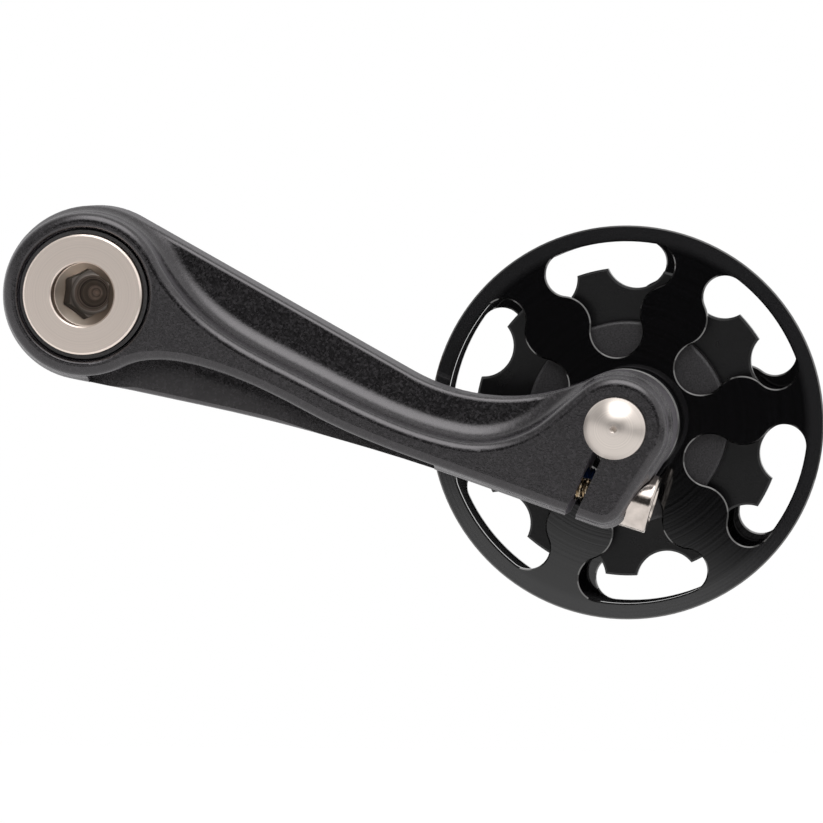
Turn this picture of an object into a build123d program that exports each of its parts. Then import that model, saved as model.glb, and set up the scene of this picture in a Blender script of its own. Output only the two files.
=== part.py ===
# Bicycle chain tensioner: a sprung arm that bolts to a derailleur hanger and carries one guide pulley.
# Origin on the hanger bolt axis at the hanger face; +X forward along the bicycle, +Y inboard, +Z up.
import os
from math import acos, atan2, cos, degrees, floor, hypot, radians, sin, sqrt, tan

from build123d import *

os.makedirs("parts", exist_ok=True)

# Arm, in its own frame: u along the line of centres, v square to it, depths behind the front face
arm_length = 75.0
arm_drop = 13.85
boss_depth = 13.8
boss_step = 0.8
boss_radius = 11.8
clamp_radius = 7.6
draft = 0.6
web_recess = 4.4
web_fillet = 3.0
face_round = 1.3
bore_round = 0.5
back_round = 0.6
rim_round = 0.8
web_lean = 4.5
top_slope = 15.4
back_shift = 0.37
neck_radius = 27.0
belly_rise = 2.2
belly_drop = 5.3
belly_round = 300.0
nose_lean = 19.0
nose_round = 3.0
nose_drop = 13.7
ridge_leaves_boss = 40.0
ridge_leaves_clamp = 144.0
ridge_straight = 6.0
ridge_low_setback = 20.5
ridge_low_drop = 6.9
ridge_middle_share = 0.413
ridge_middle_drop = 3.4
ridge_shoulder_reach = 4.2
ridge_shoulder_rise = 1.3
pocket_leaves_boss = 50.0
pocket_opens = 75.0
pocket_crown_reach = 6.7
pocket_crown_drop = 5.7
pocket_middle_share = 0.4
pocket_middle_drop = 7.3
pocket_end_setback = 23.0
pocket_relief = 0.05

# Hanger bolt, its bushings, the spring and the stop plate
head_proud = 0.8
head_wall = 2.7
head_thickness = 4.0
head_chamfer = 0.45
head_gap = 0.9
socket_recess_radius = 4.35
socket_recess_depth = 3.6
socket_chamfer = 0.4
hex_across_flats = 6.0
hex_turn = 36.0
hex_depth = 5.4
drill_radius = 2.5
drill_depth = 3.0
shoulder_radius = 6.0
thread_radius = 5.0
thread_length = 9.0
thread_chamfer = 0.8
bushing_wall = 0.9
bushing_flange = 1.0
lip_wall = 0.5
lip_setback = 0.5
lip_clearance = 0.1
bushing_land = 2.6
rear_flange = 1.2
bushing_end_gap = 0.3
running_fit = 0.03
cavity_radius = 9.4
spring_wire_radius = 0.75
coil_gap = 0.2
spring_clearance = 0.1
spring_start = 90.0
leg_depth = 1.5
stop_gap = 0.2
stop_plate_thickness = 2.0
stop_plate_radius = 11.9
plate_edge = 0.3
lug_inner_radius = 10.1
lug_width = 0.9
lug_height = 1.4
lug_angle = 150.0
lug_spread = 16.0
lug_clearance = 0.25
lug_play = 1.5
arm_travel = 50.0
tab_width = 5.0
tab_thickness = 1.8
tab_length = 4.0
tab_angle = 205.0
ring_thickness = 0.8
ring_groove_depth = 0.6
ring_outer_radius = 7.3
ring_gap = 50.0
ring_setback = 0.2
seat_clearance = 0.1

# Pinch slit and pinch bolt
slit_width = 1.5
slit_offset = 0.7
slit_tilt = 10.9
pinch_drop = 8.95
pinch_lean = 3.0
pinch_depth = 6.8
pinch_radius = 2.5
pinch_head_radius = 4.0
pinch_head_height = 4.4
pinch_head_reach = 7.15
pinch_length = 14.0
pinch_end_gap = 0.5
pinch_hex = 4.0
pinch_hex_depth = 2.4
pinch_head_round = 0.4
thread_clearance = 0.05
pinch_hole_clearance = 0.25
spot_clearance = 0.4

# Axle pin and its end screw
pin_radius = 4.2
pin_proud = 1.0
dome_height = 2.0
centre_mark_radius = 0.55
slide_fit = 0.03
washer_thickness = 0.8
washer_radius = 3.7
washer_clearance = 0.2
screw_radius = 2.0
screw_length = 8.0
screw_head_radius = 3.6
screw_head_height = 2.2
screw_hex = 2.5
screw_hex_depth = 1.3
screw_head_round = 0.9
clamp_nip = 0.2

# Bearings, sleeve and spacer
bearing_bore = 3.0
bearing_radius = 6.0
bearing_width = 4.0
bearing_setback = 0.8
ring_wall = 0.9
ball_radius = 1.0
ball_count = 7
race_clearance = 0.02
cage_width = 2.6
cage_wall = 0.7
pocket_clearance = 0.06
shield_thickness = 0.2
shield_setback = 0.25
shield_gap = 0.08
sleeve_wall = 0.9
sleeve_flange_rim = 0.7
sleeve_flange = 3.2
sleeve_shoulder = 0.6
sleeve_chamfer = 0.3
lock_ring_wall = 1.5
lock_ring_thickness = 2.0
lock_notch = 1.4
lock_notch_count = 4
spacer_wall = 0.8
bore_clearance = 0.02

# Pulley and guide plates
pulley_setback = 19.0
plate_radius = 27.24
rear_plate_step = 0.64
plate_thickness = 1.2
plate_chamfer = 0.2
plate_gap = 7.2
window_count = 6
window_turn = 36.2
rear_plate_turn = 4.6
window_bulb_place = 12.7
window_bulb_radius = 3.6
window_end_radius = 3.0
window_end_angle = 15.7
spoke_bulge_radius = 3.95
front_rim_width = 2.2
rear_rim_width = 1.5
chain_pitch = 12.7
roller_radius = 3.97
seat_clear = 0.35
tooth_count = 11
tooth_turn = 5.5
tooth_thickness = 2.4
tip_radius = 21.4
tooth_chamfer = 0.3
hub_radius = 14.0
hub_round = 0.5

# Planes across the bicycle: every sketch on them has +X to the right and +Z up, seen from outboard
arm_thickness = boss_depth - boss_step
front_y = -(boss_depth + stop_gap + stop_plate_thickness)
arm_back_y = front_y + arm_thickness
boss_back_y = front_y + boss_depth
head_radius = boss_radius - head_wall - head_gap
pin_x = arm_length * cos(radians(arm_drop))
pin_z = -arm_length * sin(radians(arm_drop))
along_arm = (cos(radians(arm_drop)), 0, -sin(radians(arm_drop)))


def across(y, centre=(0, 0)):
    """Plane facing outboard at this depth, centred on a point of the side view."""
    return Plane(origin=(centre[0], y, centre[1]), x_dir=(1, 0, 0), z_dir=(0, -1, 0))


def arm_plane(y):
    """Plane facing outboard at this depth, turned to the arm's line of centres."""
    return Plane(origin=(0, y, 0), x_dir=along_arm, z_dir=(0, -1, 0))


def on_circle(radius, angle, centre=(0, 0)):
    """Point of a circle at an angle in degrees."""
    return (centre[0] + radius * cos(radians(angle)), centre[1] + radius * sin(radians(angle)))


def direction(angle):
    """Unit vector at an angle in degrees."""
    return (cos(radians(angle)), sin(radians(angle)))


def step(point, angle, distance):
    """Point reached from another along an angle in degrees."""
    return (point[0] + distance * cos(radians(angle)), point[1] + distance * sin(radians(angle)))


def crossing(point_a, angle_a, point_b, angle_b):
    """Point where two straight lines meet, each given by a point and an angle."""
    ax, ay = direction(angle_a)
    bx, by = direction(angle_b)
    along = ((point_b[0] - point_a[0]) * by - (point_b[1] - point_a[1]) * bx) / (ax * by - ay * bx)
    return step(point_a, angle_a, along)


def arm_point(u, v, y):
    """Point of space from arm coordinates and a depth."""
    return (u * along_arm[0] - v * along_arm[2], y, u * along_arm[2] + v * along_arm[0])


pin_centre = (pin_x, pin_z)
clamp_centre = (arm_length, 0)
ridge_low = (arm_length - ridge_low_setback, -ridge_low_drop)
ridge_middle = (ridge_middle_share * arm_length, -ridge_middle_drop)
ridge_shoulder = (boss_radius + ridge_shoulder_reach, ridge_shoulder_rise)
pocket_crown = (boss_radius + pocket_crown_reach, -pocket_crown_drop)
pocket_middle = (pocket_middle_share * arm_length, -pocket_middle_drop)
head_front_y = front_y - head_proud
head_back_y = head_front_y + head_thickness
land_front_y = head_back_y + bushing_flange
cavity_floor_y = land_front_y + bushing_land
plate_front_y = -stop_plate_thickness
rear_flange_y = plate_front_y - rear_flange
bolt_bore = shoulder_radius + running_fit
bushing_radius = bolt_bore + bushing_wall
coil_radius = (bushing_radius + cavity_radius) / 2
leg_hole_radius = spring_wire_radius + spring_clearance
coil_front_y = cavity_floor_y + leg_hole_radius
coil_back_y = rear_flange_y - leg_hole_radius
coil_height = coil_back_y - coil_front_y
half_turns = floor(2 * coil_height / (2 * spring_wire_radius + coil_gap))
spring_end = spring_start - 180 * half_turns
pinch_seat = pinch_head_reach - pinch_head_height
pinch_way = (cos(radians(arm_drop + pinch_lean)), 0, -sin(radians(arm_drop + pinch_lean)))
pinch_centre = arm_point(arm_length, -pinch_drop, front_y + pinch_depth)


def pinch_plane(reach):
    """Plane square to the pinch bolt, at a distance along it from below the axle."""
    return Plane(Vector(pinch_centre) + reach * Vector(pinch_way), z_dir=pinch_way)


def unit(vector):
    """Vector of length one in the same direction."""
    return (vector[0] / hypot(*vector), vector[1] / hypot(*vector))


def between(centre, radius, start, end):
    """Middle point of the shorter arc about a centre from one point to another."""
    from_start = unit((start[0] - centre[0], start[1] - centre[1]))
    from_end = unit((end[0] - centre[0], end[1] - centre[1]))
    middle = unit((from_start[0] + from_end[0], from_start[1] + from_end[1]))
    return (centre[0] + radius * middle[0], centre[1] + radius * middle[1])


def rounded(corner, angle_in, angle_out, radius):
    """Ends of the tangent arc that rounds a corner between two directions."""
    leg = radius * tan(radians(abs(angle_out - angle_in) / 2))
    return step(corner, angle_in, -leg), step(corner, angle_out, leg)


def nose_edge(inset):
    """Bottom line and rounded nose of the clamp end, moved in from the outline by the inset."""
    belly_point = step((arm_length, -nose_drop), 90 - belly_drop, inset)
    side_point = on_circle(clamp_radius - inset, -nose_lean, clamp_centre)
    corner = crossing(belly_point, -belly_drop, side_point, 90 - nose_lean)
    nose_in, nose_out = rounded(corner, -belly_drop, 90 - nose_lean, nose_round)
    return belly_point, nose_in, nose_out, side_point


def base_outline():
    """Outline of the whole arm: boss, straight back, hollow neck, clamp end and belly."""
    belly_point, nose_in, nose_out, side_point = nose_edge(0)
    back_centre = (back_shift, 0)
    back_radius = boss_radius + back_shift
    back_start = on_circle(back_radius, 90 - top_slope, back_centre)
    boss_end = on_circle(boss_radius, 180)
    belly_start = on_circle(boss_radius, belly_rise - 90)
    bend = crossing(belly_start, belly_rise, belly_point, -belly_drop)
    bend_in, bend_out = rounded(bend, belly_rise, -belly_drop, belly_round)
    ahead = direction(-top_slope)
    above = direction(90 - top_slope)
    to_clamp = (clamp_centre[0] - back_start[0], clamp_centre[1] - back_start[1])
    reach = to_clamp[0] * ahead[0] + to_clamp[1] * ahead[1]
    height = to_clamp[0] * above[0] + to_clamp[1] * above[1]
    run = reach - sqrt((neck_radius + clamp_radius) ** 2 - (neck_radius - height) ** 2)
    neck_start = step(back_start, -top_slope, run)
    neck_centre = step(neck_start, 90 - top_slope, neck_radius)
    to_end = unit((clamp_centre[0] - neck_centre[0], clamp_centre[1] - neck_centre[1]))
    neck_end = (neck_centre[0] + neck_radius * to_end[0], neck_centre[1] + neck_radius * to_end[1])
    with BuildSketch() as outline:
        with BuildLine():
            ThreePointArc(back_start, on_circle(back_radius, 130, back_centre), boss_end)
            ThreePointArc(boss_end, on_circle(boss_radius, 225), belly_start)
            Line(belly_start, bend_in)
            TangentArc(bend_in, bend_out, tangent=direction(belly_rise))
            Line(bend_out, nose_in)
            TangentArc(nose_in, nose_out, tangent=direction(-belly_drop))
            Line(nose_out, side_point)
            ThreePointArc(side_point, on_circle(clamp_radius, 60, clamp_centre), neck_end)
            ThreePointArc(neck_end, between(neck_centre, neck_radius, neck_end, neck_start), neck_start)
            Line(neck_start, back_start)
        make_face()
    return outline.sketch


def pocket_close():
    """Point of the belly where the pocket under the ridge runs out."""
    return step(nose_edge(draft)[0], -belly_drop, -pocket_end_setback)


def face_outline():
    """Outline of the raised front face: boss, curved ridge and clamp end in one."""
    belly_point, nose_in, nose_out, side_point = nose_edge(draft)
    boss_face = boss_radius - draft
    clamp_face = clamp_radius - draft
    pocket_start = on_circle(boss_face, -pocket_leaves_boss)
    pocket_end = pocket_close()
    ridge_start = on_circle(clamp_face, ridge_leaves_clamp, clamp_centre)
    ridge_foot = step(ridge_start, ridge_leaves_clamp + 90, ridge_straight)
    ridge_end = on_circle(boss_face, ridge_leaves_boss)
    ridge_points = [ridge_low, ridge_middle, ridge_shoulder, ridge_end]
    pocket_points = [pocket_start, pocket_crown, pocket_middle, pocket_end]
    with BuildSketch() as outline:
        with BuildLine():
            ThreePointArc(ridge_end, on_circle(boss_face, 180), pocket_start)
            Spline(pocket_points, tangents=[direction(90 - pocket_leaves_boss), direction(-belly_drop)])
            Line(pocket_end, nose_in)
            TangentArc(nose_in, nose_out, tangent=direction(-belly_drop))
            Line(nose_out, side_point)
            ThreePointArc(side_point, on_circle(clamp_face, 60, clamp_centre), ridge_start)
            Line(ridge_start, ridge_foot)
            valley = TangentArc(ridge_foot, ridge_low, tangent=direction(ridge_leaves_clamp + 90))
            Spline(ridge_points, tangents=[valley % 1, direction(ridge_leaves_boss + 90)])
        make_face()
    return outline.sketch


def halfway(point_a, point_b):
    """Point in the middle between two points."""
    return ((point_a[0] + point_b[0]) / 2, (point_a[1] + point_b[1]) / 2)


def pocket_ground():
    """Ground below the ridge, reached from inside the ridge and open below the belly."""
    close = pocket_close()
    with BuildSketch() as ground:
        with BuildLine():
            Polyline(
                on_circle(boss_radius / 2, -pocket_opens),
                on_circle(2 * boss_radius, -pocket_opens),
                (close[0], -2 * boss_radius),
                (close[0], halfway(ridge_low, close)[1]),
                halfway(ridge_middle, pocket_middle),
                halfway(ridge_shoulder, pocket_crown),
                close=True,
            )
        make_face()
        add(face_outline(), mode=Mode.SUBTRACT)
    return ground.sketch


def sector(inner, outer, start, end):
    """Ring sector between two radii and two angles."""
    middle = (start + end) / 2
    with BuildSketch() as shape:
        with BuildLine():
            ThreePointArc(on_circle(outer, start), on_circle(outer, middle), on_circle(outer, end))
            Line(on_circle(outer, end), on_circle(inner, end))
            ThreePointArc(on_circle(inner, end), on_circle(inner, middle), on_circle(inner, start))
            Line(on_circle(inner, start), on_circle(outer, start))
        make_face()
    return shape.sketch


# Web round the raised front face: it leans back towards the arm's top edge
web_facing = arm_point(0, sin(radians(web_lean)), -cos(radians(web_lean)))
web = Plane(origin=arm_point(0, -nose_drop, front_y + web_recess), x_dir=along_arm, z_dir=web_facing)

# Ground round the raised front face, down to the web, with a hollow round at the foot of the wall
with BuildPart() as recess:
    with BuildSketch(arm_plane(front_y + 2 * web_recess)):
        with Locations((arm_length / 2, 0)):
            Rectangle(arm_length + 4 * boss_radius, 4 * boss_radius)
        add(face_outline(), mode=Mode.SUBTRACT)
    extrude(amount=2 * web_recess)
    split(bisect_by=web, keep=Keep.TOP)
    foot = recess.faces().filter_by(web)[0].inner_wires()[0]
    fillet(foot.edges(), radius=web_fillet)

# Pocket under the ridge, down to the web and square to the ridge's wall
with BuildPart() as pocket:
    with BuildSketch(arm_plane(front_y + 2 * web_recess)):
        with Locations((0, pocket_relief)):
            add(pocket_ground())
    extrude(amount=2 * web_recess)
    split(bisect_by=web.offset(-pocket_relief), keep=Keep.TOP)

# Arm: one aluminium forging with a pivot boss, a raised S-shaped ridge and a slit clamp end
with BuildPart() as arm:
    with BuildSketch(arm_plane(arm_back_y)):
        add(base_outline())
    extrude(amount=arm_thickness)
    fillet(arm.faces().sort_by(Axis.Y)[-1].edges(), radius=back_round)
    with BuildSketch(across(boss_back_y)):
        Circle(boss_radius)
    extrude(amount=boss_depth - web_recess)
    fillet(arm.faces().sort_by(Axis.Y)[-1].edges(), radius=back_round)
    add(recess.part, mode=Mode.SUBTRACT)
    fillet(arm.faces().sort_by(Axis.Y)[0].edges(), radius=face_round)
    # Rounded rim of the web, along the front edges of the outer walls
    below_web = front_y + 2 * web_recess
    deep_faces = arm.faces().filter_by(lambda face: face.bounding_box().max.Y > below_web)
    outer_walls = deep_faces.filter_by(lambda wall: wall.bounding_box().min.Y < below_web)
    rim = outer_walls.edges().filter_by(lambda edge: edge.bounding_box().max.Y < below_web)
    fillet(rim, radius=rim_round)
    add(pocket.part, mode=Mode.SUBTRACT)
    # Counterbore for the bolt head, bore for the bushing and cavity for the spring
    with BuildSketch(across(land_front_y)):
        Circle(head_radius + head_gap)
    extrude(amount=land_front_y - front_y, mode=Mode.SUBTRACT)
    fillet(arm.faces().sort_by(Axis.Y)[0].inner_wires()[0].edges(), radius=bore_round)
    with BuildSketch(across(boss_back_y)):
        Circle(bushing_radius)
    extrude(amount=boss_depth, mode=Mode.SUBTRACT)
    with BuildSketch(across(boss_back_y)):
        Circle(cavity_radius)
    extrude(amount=boss_back_y - cavity_floor_y, mode=Mode.SUBTRACT)
    # Hole for the front spring leg and the slot that the stop lug runs in
    with BuildSketch(across(cavity_floor_y, on_circle(coil_radius, spring_start))):
        Circle(leg_hole_radius)
    extrude(amount=leg_depth + spring_clearance, mode=Mode.SUBTRACT)
    with BuildSketch(across(boss_back_y)):
        slot_start = lug_angle - lug_spread / 2 - lug_play
        slot_end = lug_angle + lug_spread / 2 + arm_travel + lug_play
        slot_outer = lug_inner_radius + lug_width + lug_clearance
        add(sector(lug_inner_radius - lug_clearance, slot_outer, slot_start, slot_end))
    extrude(amount=lug_height + lug_clearance, mode=Mode.SUBTRACT)
    # Axle bore, pinch slit, pinch bolt hole and the spot face under its head
    with BuildSketch(across(arm_back_y, pin_centre)):
        Circle(pin_radius + slide_fit)
    extrude(amount=arm_thickness, mode=Mode.SUBTRACT)
    with BuildSketch(arm_plane(arm_back_y)):
        slit_length = nose_drop + clamp_radius
        with Locations(step((arm_length - slit_offset, 0), -90 - slit_tilt, slit_length / 2)):
            Rectangle(slit_width, slit_length, rotation=-slit_tilt)
    extrude(amount=arm_thickness, mode=Mode.SUBTRACT)
    with BuildSketch(pinch_plane(pinch_seat - pinch_length)):
        Circle(pinch_radius + thread_clearance)
    extrude(amount=pinch_length, mode=Mode.SUBTRACT)
    with BuildSketch(pinch_plane(0)):
        Circle(pinch_radius + pinch_hole_clearance)
    extrude(amount=clamp_radius, mode=Mode.SUBTRACT)
    with BuildSketch(pinch_plane(pinch_seat)):
        Circle(pinch_head_radius + spot_clearance)
    extrude(amount=clamp_radius, mode=Mode.SUBTRACT)
arm.part.label = "arm"
export_step(arm.part, "parts/arm.step")

# Hanger bolt: turned steel, with a wide head, a plain shoulder, a ring groove and a threaded end
groove_back_y = -ring_setback
groove_front_y = groove_back_y - ring_thickness - bore_clearance
with BuildPart() as hanger_bolt:
    with BuildSketch(Plane.XY):
        with BuildLine():
            Polyline(
                (0, head_front_y),
                (head_radius - head_chamfer, head_front_y),
                (head_radius, head_front_y + head_chamfer),
                (head_radius, head_back_y),
                (shoulder_radius, head_back_y),
                (shoulder_radius, groove_front_y),
                (shoulder_radius - ring_groove_depth, groove_front_y),
                (shoulder_radius - ring_groove_depth, groove_back_y),
                (shoulder_radius, groove_back_y),
                (shoulder_radius, 0),
                (thread_radius, 0),
                (thread_radius, thread_length - thread_chamfer),
                (thread_radius - thread_chamfer, thread_length),
                (0, thread_length),
                close=True,
            )
        make_face()
    revolve(axis=Axis.Y)
    with BuildSketch(Plane.XY):
        recess_floor_y = head_front_y + socket_recess_depth
        drill_front_y = recess_floor_y + hex_depth
        with BuildLine():
            Polyline(
                (0, head_front_y),
                (socket_recess_radius + socket_chamfer, head_front_y),
                (socket_recess_radius, head_front_y + socket_chamfer),
                (socket_recess_radius, recess_floor_y),
                (drill_radius, recess_floor_y),
                (drill_radius, drill_front_y),
                (0, drill_front_y + drill_depth),
                close=True,
            )
        make_face()
    revolve(axis=Axis.Y, mode=Mode.SUBTRACT)
    with BuildSketch(across(drill_front_y)):
        RegularPolygon(hex_across_flats / 2, 6, major_radius=False, rotation=hex_turn)
    extrude(amount=hex_depth, mode=Mode.SUBTRACT)
hanger_bolt.part.label = "hanger_bolt"
export_step(hanger_bolt.part, "parts/hanger_bolt.step")

# Front bushing: plain flanged bush between the bolt head and the arm, with a thin lip round the head
with BuildPart() as front_bushing:
    with BuildSketch(across(land_front_y)):
        Circle(head_radius + head_gap - seat_clearance)
        Circle(bolt_bore, mode=Mode.SUBTRACT)
    extrude(amount=bushing_flange)
    with BuildSketch(across(head_back_y)):
        Circle(head_radius + lip_clearance + lip_wall)
        Circle(head_radius + lip_clearance, mode=Mode.SUBTRACT)
    extrude(amount=head_back_y - front_y - lip_setback)
    with BuildSketch(across(cavity_floor_y)):
        Circle(bushing_radius)
        Circle(bolt_bore, mode=Mode.SUBTRACT)
    extrude(amount=bushing_land)
front_bushing.part.label = "front_bushing"
export_step(front_bushing.part, "parts/front_bushing.step")

# Rear bushing: sleeve inside the spring with a flange that closes the spring cavity
with BuildPart() as rear_bushing:
    with BuildSketch(across(plate_front_y)):
        Circle(cavity_radius - running_fit)
        Circle(bolt_bore, mode=Mode.SUBTRACT)
    extrude(amount=rear_flange)
    with BuildSketch(across(rear_flange_y)):
        Circle(bushing_radius)
        Circle(bolt_bore, mode=Mode.SUBTRACT)
    extrude(amount=rear_flange_y - cavity_floor_y - bushing_end_gap)
    with BuildSketch(across(plate_front_y, on_circle(coil_radius, spring_end))):
        Circle(leg_hole_radius)
    extrude(amount=rear_flange, mode=Mode.SUBTRACT)
rear_bushing.part.label = "rear_bushing"
export_step(rear_bushing.part, "parts/rear_bushing.step")

# Torsion spring: round wire with one leg in the arm and one through the rear bushing into the stop plate
front_leg_y = cavity_floor_y - leg_depth
rear_leg_y = plate_front_y + leg_depth
with BuildPart() as torsion_spring:
    with BuildLine() as coil:
        Helix(
            pitch=2 * coil_height / half_turns,
            height=coil_height,
            radius=coil_radius,
            center=(0, coil_front_y, 0),
            direction=(0, 1, 0),
        )
    with BuildSketch(Plane(origin=coil.line @ 0, z_dir=coil.line % 0)):
        Circle(spring_wire_radius)
    sweep(path=coil.line, is_frenet=True)
    with Locations(coil.line @ 0, coil.line @ 1):
        Sphere(spring_wire_radius)
    with BuildSketch(across(coil_front_y, on_circle(coil_radius, spring_start))):
        Circle(spring_wire_radius)
    extrude(amount=coil_front_y - front_leg_y)
    with BuildSketch(across(rear_leg_y, on_circle(coil_radius, spring_end))):
        Circle(spring_wire_radius)
    extrude(amount=rear_leg_y - coil_back_y)
torsion_spring.part.label = "torsion_spring"
export_step(torsion_spring.part, "parts/torsion_spring.step")

# Stop plate: steel disc that seats on the hanger, with a lug for the arm's stop and a tab for the hanger's
ring_pocket_depth = ring_thickness + ring_setback + seat_clearance
with BuildPart() as stop_plate:
    with BuildSketch(across(0)):
        Circle(stop_plate_radius)
        Circle(bolt_bore, mode=Mode.SUBTRACT)
    extrude(amount=stop_plate_thickness)
    chamfer(stop_plate.faces().sort_by(Axis.Y)[0].edges().sort_by(SortBy.LENGTH)[-1], length=plate_edge)
    with BuildSketch(across(0)):
        Circle(ring_outer_radius + lug_clearance)
    extrude(amount=ring_pocket_depth, mode=Mode.SUBTRACT)
    with BuildSketch(across(plate_front_y)):
        lug_outer = lug_inner_radius + lug_width
        add(sector(lug_inner_radius, lug_outer, lug_angle - lug_spread / 2, lug_angle + lug_spread / 2))
    extrude(amount=lug_height + stop_gap)
    with BuildSketch(across(tab_length)):
        tab_centre = stop_plate_radius - tab_thickness
        with Locations(on_circle(tab_centre, tab_angle)):
            Rectangle(tab_thickness, tab_width, rotation=tab_angle)
    extrude(amount=tab_length + stop_plate_thickness / 2)
    with BuildSketch(across(rear_leg_y + spring_clearance, on_circle(coil_radius, spring_end))):
        Circle(leg_hole_radius)
    extrude(amount=leg_depth + spring_clearance, mode=Mode.SUBTRACT)
stop_plate.part.label = "stop_plate"
export_step(stop_plate.part, "parts/stop_plate.step")

# Retaining ring: open spring-steel ring in the bolt's groove, which keeps arm and plate on the bolt
with BuildPart() as retaining_ring:
    with BuildSketch(across(groove_back_y)):
        ring_inner = shoulder_radius - ring_groove_depth + bore_clearance
        add(sector(ring_inner, ring_outer_radius, ring_gap / 2 - 90, 270 - ring_gap / 2))
    extrude(amount=ring_thickness)
retaining_ring.part.label = "retaining_ring"
export_step(retaining_ring.part, "parts/retaining_ring.step")

# Pinch bolt: socket cap screw that closes the slit on the axle pin
pinch_end = pinch_seat - pinch_length + pinch_end_gap
with BuildPart() as pinch_bolt:
    with BuildSketch(pinch_plane(pinch_seat)):
        Circle(pinch_head_radius)
    extrude(amount=pinch_head_height)
    head_end = pinch_bolt.faces().sort_by(Axis.X)[-1]
    fillet(head_end.edges(), radius=pinch_head_round)
    with BuildSketch(pinch_plane(pinch_end)):
        Circle(pinch_radius)
    extrude(amount=pinch_seat - pinch_end)
    with BuildSketch(pinch_plane(pinch_head_reach - pinch_hex_depth)):
        RegularPolygon(pinch_hex / 2, 6, major_radius=False)
    extrude(amount=pinch_hex_depth, mode=Mode.SUBTRACT)
pinch_bolt.part.label = "pinch_bolt"
export_step(pinch_bolt.part, "parts/pinch_bolt.step")

# Stack on the axle, from outboard to inboard
plate_y = front_y + pulley_setback
hub_front_y = plate_y + plate_thickness
hub_back_y = hub_front_y + plate_gap
rear_plate_back_y = hub_back_y + plate_thickness
sleeve_front_y = plate_y - sleeve_flange
sleeve_back_y = rear_plate_back_y + lock_ring_thickness
front_bearing_y = sleeve_front_y + bearing_setback
rear_bearing_y = sleeve_back_y - bearing_setback - bearing_width
sleeve_radius = bearing_radius + sleeve_wall
sleeve_flange_radius = sleeve_radius + sleeve_flange_rim
lock_ring_radius = sleeve_radius + lock_ring_wall
axle_plane = Plane(origin=(pin_x, 0, pin_z))
axle_axis = Axis((pin_x, 0, pin_z), (0, 1, 0))
inner_ring_back_y = rear_bearing_y + bearing_width
pin_end_y = inner_ring_back_y - clamp_nip
dome_y = front_y - pin_proud

# Axle pin: turned steel, domed outboard, with a smaller seat for the bearings and a tapped inboard end
with BuildPart() as axle_pin:
    with BuildSketch(axle_plane):
        dome_radius = (pin_radius**2 + dome_height**2) / (2 * dome_height)
        dome_centre_y = dome_y - dome_height + dome_radius
        half_spread = degrees(acos((dome_radius - dome_height) / dome_radius)) / 2
        dome_middle = on_circle(dome_radius, half_spread - 90, (0, dome_centre_y))
        with BuildLine():
            ThreePointArc((0, dome_y - dome_height), dome_middle, (pin_radius, dome_y))
            Polyline(
                (pin_radius, dome_y),
                (pin_radius, front_bearing_y),
                (bearing_bore, front_bearing_y),
                (bearing_bore, pin_end_y),
                (0, pin_end_y),
                (0, dome_y - dome_height),
            )
        make_face()
    revolve(axis=axle_axis)
    with BuildSketch(across(pin_end_y, pin_centre)):
        Circle(screw_radius + thread_clearance)
    extrude(amount=screw_length, mode=Mode.SUBTRACT)
    with BuildSketch(axle_plane):
        with BuildLine():
            Polyline(
                (0, dome_y - dome_height - centre_mark_radius),
                (centre_mark_radius, dome_y - dome_height - centre_mark_radius),
                (centre_mark_radius, dome_y - dome_height),
                (0, dome_y - dome_height + centre_mark_radius),
                close=True,
            )
        make_face()
    revolve(axis=axle_axis, mode=Mode.SUBTRACT)
axle_pin.part.label = "axle_pin"
export_step(axle_pin.part, "parts/axle_pin.step")

# End washer and end screw: they hold the bearings' inner rings on the pin
washer_back_y = inner_ring_back_y + washer_thickness
with BuildPart() as end_washer:
    with BuildSketch(across(washer_back_y, pin_centre)):
        Circle(washer_radius)
        Circle(screw_radius + washer_clearance, mode=Mode.SUBTRACT)
    extrude(amount=washer_thickness)
end_washer.part.label = "end_washer"
export_step(end_washer.part, "parts/end_washer.step")

with BuildPart() as end_screw:
    with BuildSketch(across(washer_back_y + screw_head_height, pin_centre)):
        Circle(screw_head_radius)
    extrude(amount=screw_head_height)
    fillet(end_screw.faces().sort_by(Axis.Y)[-1].edges(), radius=screw_head_round)
    with BuildSketch(across(washer_back_y, pin_centre)):
        Circle(screw_radius)
    extrude(amount=washer_back_y - pin_end_y + screw_length - clamp_nip)
    with BuildSketch(across(washer_back_y + screw_head_height, pin_centre)):
        RegularPolygon(screw_hex / 2, 6, major_radius=False)
    extrude(amount=screw_hex_depth, mode=Mode.SUBTRACT)
end_screw.part.label = "end_screw"
export_step(end_screw.part, "parts/end_screw.step")

# Ball bearings: inner ring, outer ring, balls, cage and two shields each
ball_circle = (bearing_bore + bearing_radius) / 2
race_radius = ball_radius + race_clearance


def ring_between(inner, outer, y, width):
    """Plain ring about the axle, starting at a depth."""
    with BuildPart() as ring:
        with BuildSketch(across(y + width, pin_centre)):
            Circle(outer)
            Circle(inner, mode=Mode.SUBTRACT)
        extrude(amount=width)
    return ring.part


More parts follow.
